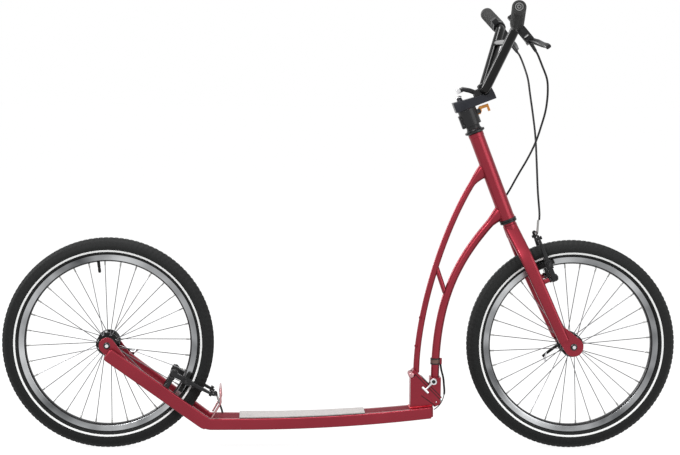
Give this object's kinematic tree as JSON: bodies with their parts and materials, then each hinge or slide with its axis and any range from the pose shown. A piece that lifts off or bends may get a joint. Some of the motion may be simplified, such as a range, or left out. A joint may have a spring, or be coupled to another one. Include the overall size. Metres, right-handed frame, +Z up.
{
  "type": "kick bike",
  "caption": "Adult kick scooter with spoked wheels, a low footboard, a folding frame, a quick-release stem and a high handlebar with rim brakes.",
  "frame": {"origin": "on the ground, halfway between the points where the two tyres touch it", "axes": "+X forward, +Y to the rider's left, +Z up"},
  "size_m": [1.603, 0.5888, 1.0597],
  "materials": {
    "frame_paint": "gloss metallic burgundy",
    "black_paint": "satin black",
    "grip_pad": "light grey gritty anti-slip sheet",
    "polished_steel": "polished",
    "tyre": "matt black with a reflective side stripe",
    "rubber": "matt",
    "alloy": "satin silver",
    "spoke_steel": "bright wire",
    "grip_rubber": "matt ribbed",
    "orange_anodised": "gloss orange",
    "cable_sheath": "satin black"
  },
  "bodies": {
    "footboard": {"deck_rail_right": "frame_paint", "deck_rail_left": "frame_paint", "deck_pan": "frame_paint", "deck_grip_pad": "grip_pad", "heel_guard": "black_paint", "hinge_gusset": "frame_paint", "hinge_pin": "frame_paint", "rear_axle": "polished_steel", "rear_brake_cable": "cable_sheath"},
    "rear_wheel": {"rear_tyre": "tyre", "rear_inner_tube": "rubber", "rear_rim": "alloy", "rear_hub": "alloy", "rear_spokes_right": "spoke_steel", "rear_spokes_left": "spoke_steel"},
    "rear_release": {"rear_quick_release": "black_paint"},
    "rear_arm_right": {"rear_brake_arm_right": "black_paint", "rear_brake_pad_right": "rubber"},
    "rear_arm_left": {"rear_brake_arm_left": "black_paint", "rear_brake_pad_left": "rubber", "rear_brake_noodle": "polished_steel"},
    "front_frame": {"head_tube": "frame_paint", "headset_cup_lower": "black_paint", "headset_cup_upper": "black_paint", "upper_frame_tube": "frame_paint", "lower_frame_tube": "frame_paint", "frame_brace": "frame_paint", "hinge_leaf": "frame_paint", "fold_cable_loop": "cable_sheath"},
    "swing_bolt": {"hinge_swing_bolt": "polished_steel"},
    "steering": {"fork_crown": "black_paint", "fork_blade_right": "frame_paint", "fork_blade_left": "frame_paint", "front_axle": "polished_steel", "stem_body": "black_paint", "stem_block": "black_paint", "bar_clamp": "black_paint", "handlebar": "black_paint", "grip_right": "grip_rubber", "grip_left": "grip_rubber", "brake_lever_bracket_right": "black_paint", "brake_lever_bracket_left": "black_paint", "front_brake_cable": "cable_sheath", "rear_brake_lever_cable": "cable_sheath"},
    "stem_release": {"stem_quick_release": "black_paint"},
    "safety_catch": {"stem_safety_lever": "orange_anodised"},
    "lever_right": {"brake_lever_right": "black_paint"},
    "lever_left": {"brake_lever_left": "black_paint"},
    "front_arm_right": {"front_brake_arm_right": "black_paint", "front_brake_pad_right": "rubber", "front_brake_noodle": "polished_steel"},
    "front_arm_left": {"front_brake_arm_left": "black_paint", "front_brake_pad_left": "rubber"},
    "front_wheel": {"front_tyre": "tyre", "front_inner_tube": "rubber", "front_rim": "alloy", "front_hub": "alloy", "front_spokes_right": "spoke_steel", "front_spokes_left": "spoke_steel"},
    "front_release": {"front_quick_release": "black_paint"}
  },
  "joints": [
    {"name": "rear_wheel_spin", "type": "hinge", "parent": "footboard", "child": "rear_wheel", "pos_m": [-0.5515, 0, 0.25], "axis": [0, 1, 0], "continuous": true},
    {"name": "rear_release_swing", "type": "hinge", "parent": "footboard", "child": "rear_release", "pos_m": [-0.5515, 0.0783, 0.25], "axis": [0.5948, 0, 0.8039], "range_deg": [0, 120]},
    {"name": "rear_arm_right_close", "type": "hinge", "parent": "footboard", "child": "rear_arm_right", "pos_m": [-0.4021, -0.042, 0.16888], "axis": [0.4772, 0, 0.8788], "range_deg": [0, 2.5]},
    {"name": "rear_arm_left_close", "type": "hinge", "parent": "footboard", "child": "rear_arm_left", "pos_m": [-0.4021, 0.042, 0.16888], "axis": [-0.4772, 0, -0.8788], "range_deg": [0, 2.5]},
    {"name": "frame_fold", "type": "hinge", "parent": "footboard", "child": "front_frame", "pos_m": [0.169, 0, 0.176], "axis": [0, -1, 0], "range_deg": [0, 68], "deforming": ["fold_cable_loop"]},
    {"name": "swing_bolt_open", "type": "hinge", "parent": "front_frame", "child": "swing_bolt", "pos_m": [0.22203, -0.0218, 0.16115], "axis": [0, 1, 0], "range_deg": [0, 80]},
    {"name": "steer", "type": "hinge", "parent": "front_frame", "child": "steering", "pos_m": [0.51798, 0, 0.23686], "axis": [-0.3649, 0, 0.9311], "range_deg": [-60, 60], "deforming": ["rear_brake_lever_cable"]},
    {"name": "stem_release_open", "type": "hinge", "parent": "steering", "child": "stem_release", "pos_m": [0.31336, 0, 0.84943], "axis": [0, 1, 0], "range_deg": [0, 75]},
    {"name": "safety_catch_open", "type": "hinge", "parent": "steering", "child": "safety_catch", "pos_m": [0.32357, 0, 0.80693], "axis": [0, 1, 0], "range_deg": [0, 25]},
    {"name": "lever_right_squeeze", "type": "hinge", "parent": "steering", "child": "lever_right", "pos_m": [0.41419, -0.1677, 0.9743], "axis": [-0.794, -0.0784, -0.6028], "range_deg": [0, 25], "stiffness_Nm_per_rad": 0.6, "springref_deg": -20.05},
    {"name": "lever_left_squeeze", "type": "hinge", "parent": "steering", "child": "lever_left", "pos_m": [0.41419, 0.1677, 0.9743], "axis": [0.794, -0.0784, 0.6028], "range_deg": [0, 25], "stiffness_Nm_per_rad": 0.6, "springref_deg": -20.05},
    {"name": "front_arm_right_close", "type": "hinge", "parent": "steering", "child": "front_arm_right", "pos_m": [0.48947, -0.042, 0.40828], "axis": [-0.9311, 0, -0.3649], "range_deg": [0, 2.5]},
    {"name": "front_arm_left_close", "type": "hinge", "parent": "steering", "child": "front_arm_left", "pos_m": [0.48947, 0.042, 0.40828], "axis": [0.9311, 0, 0.3649], "range_deg": [0, 2.5]},
    {"name": "front_wheel_spin", "type": "hinge", "parent": "steering", "child": "front_wheel", "pos_m": [0.5515, 0, 0.25], "axis": [0, 1, 0], "continuous": true},
    {"name": "front_release_swing", "type": "hinge", "parent": "steering", "child": "front_release", "pos_m": [0.5515, 0.0689, 0.25], "axis": [0.5948, 0, -0.8039], "range_deg": [0, 120]}
  ],
  "couplings": [
    {"joint": "front_arm_right_close", "follows": "lever_left_squeeze", "ratio": 0.1},
    {"joint": "front_arm_left_close", "follows": "lever_left_squeeze", "ratio": 0.1},
    {"joint": "rear_arm_right_close", "follows": "lever_right_squeeze", "ratio": 0.1},
    {"joint": "rear_arm_left_close", "follows": "lever_right_squeeze", "ratio": 0.1}
  ]
}
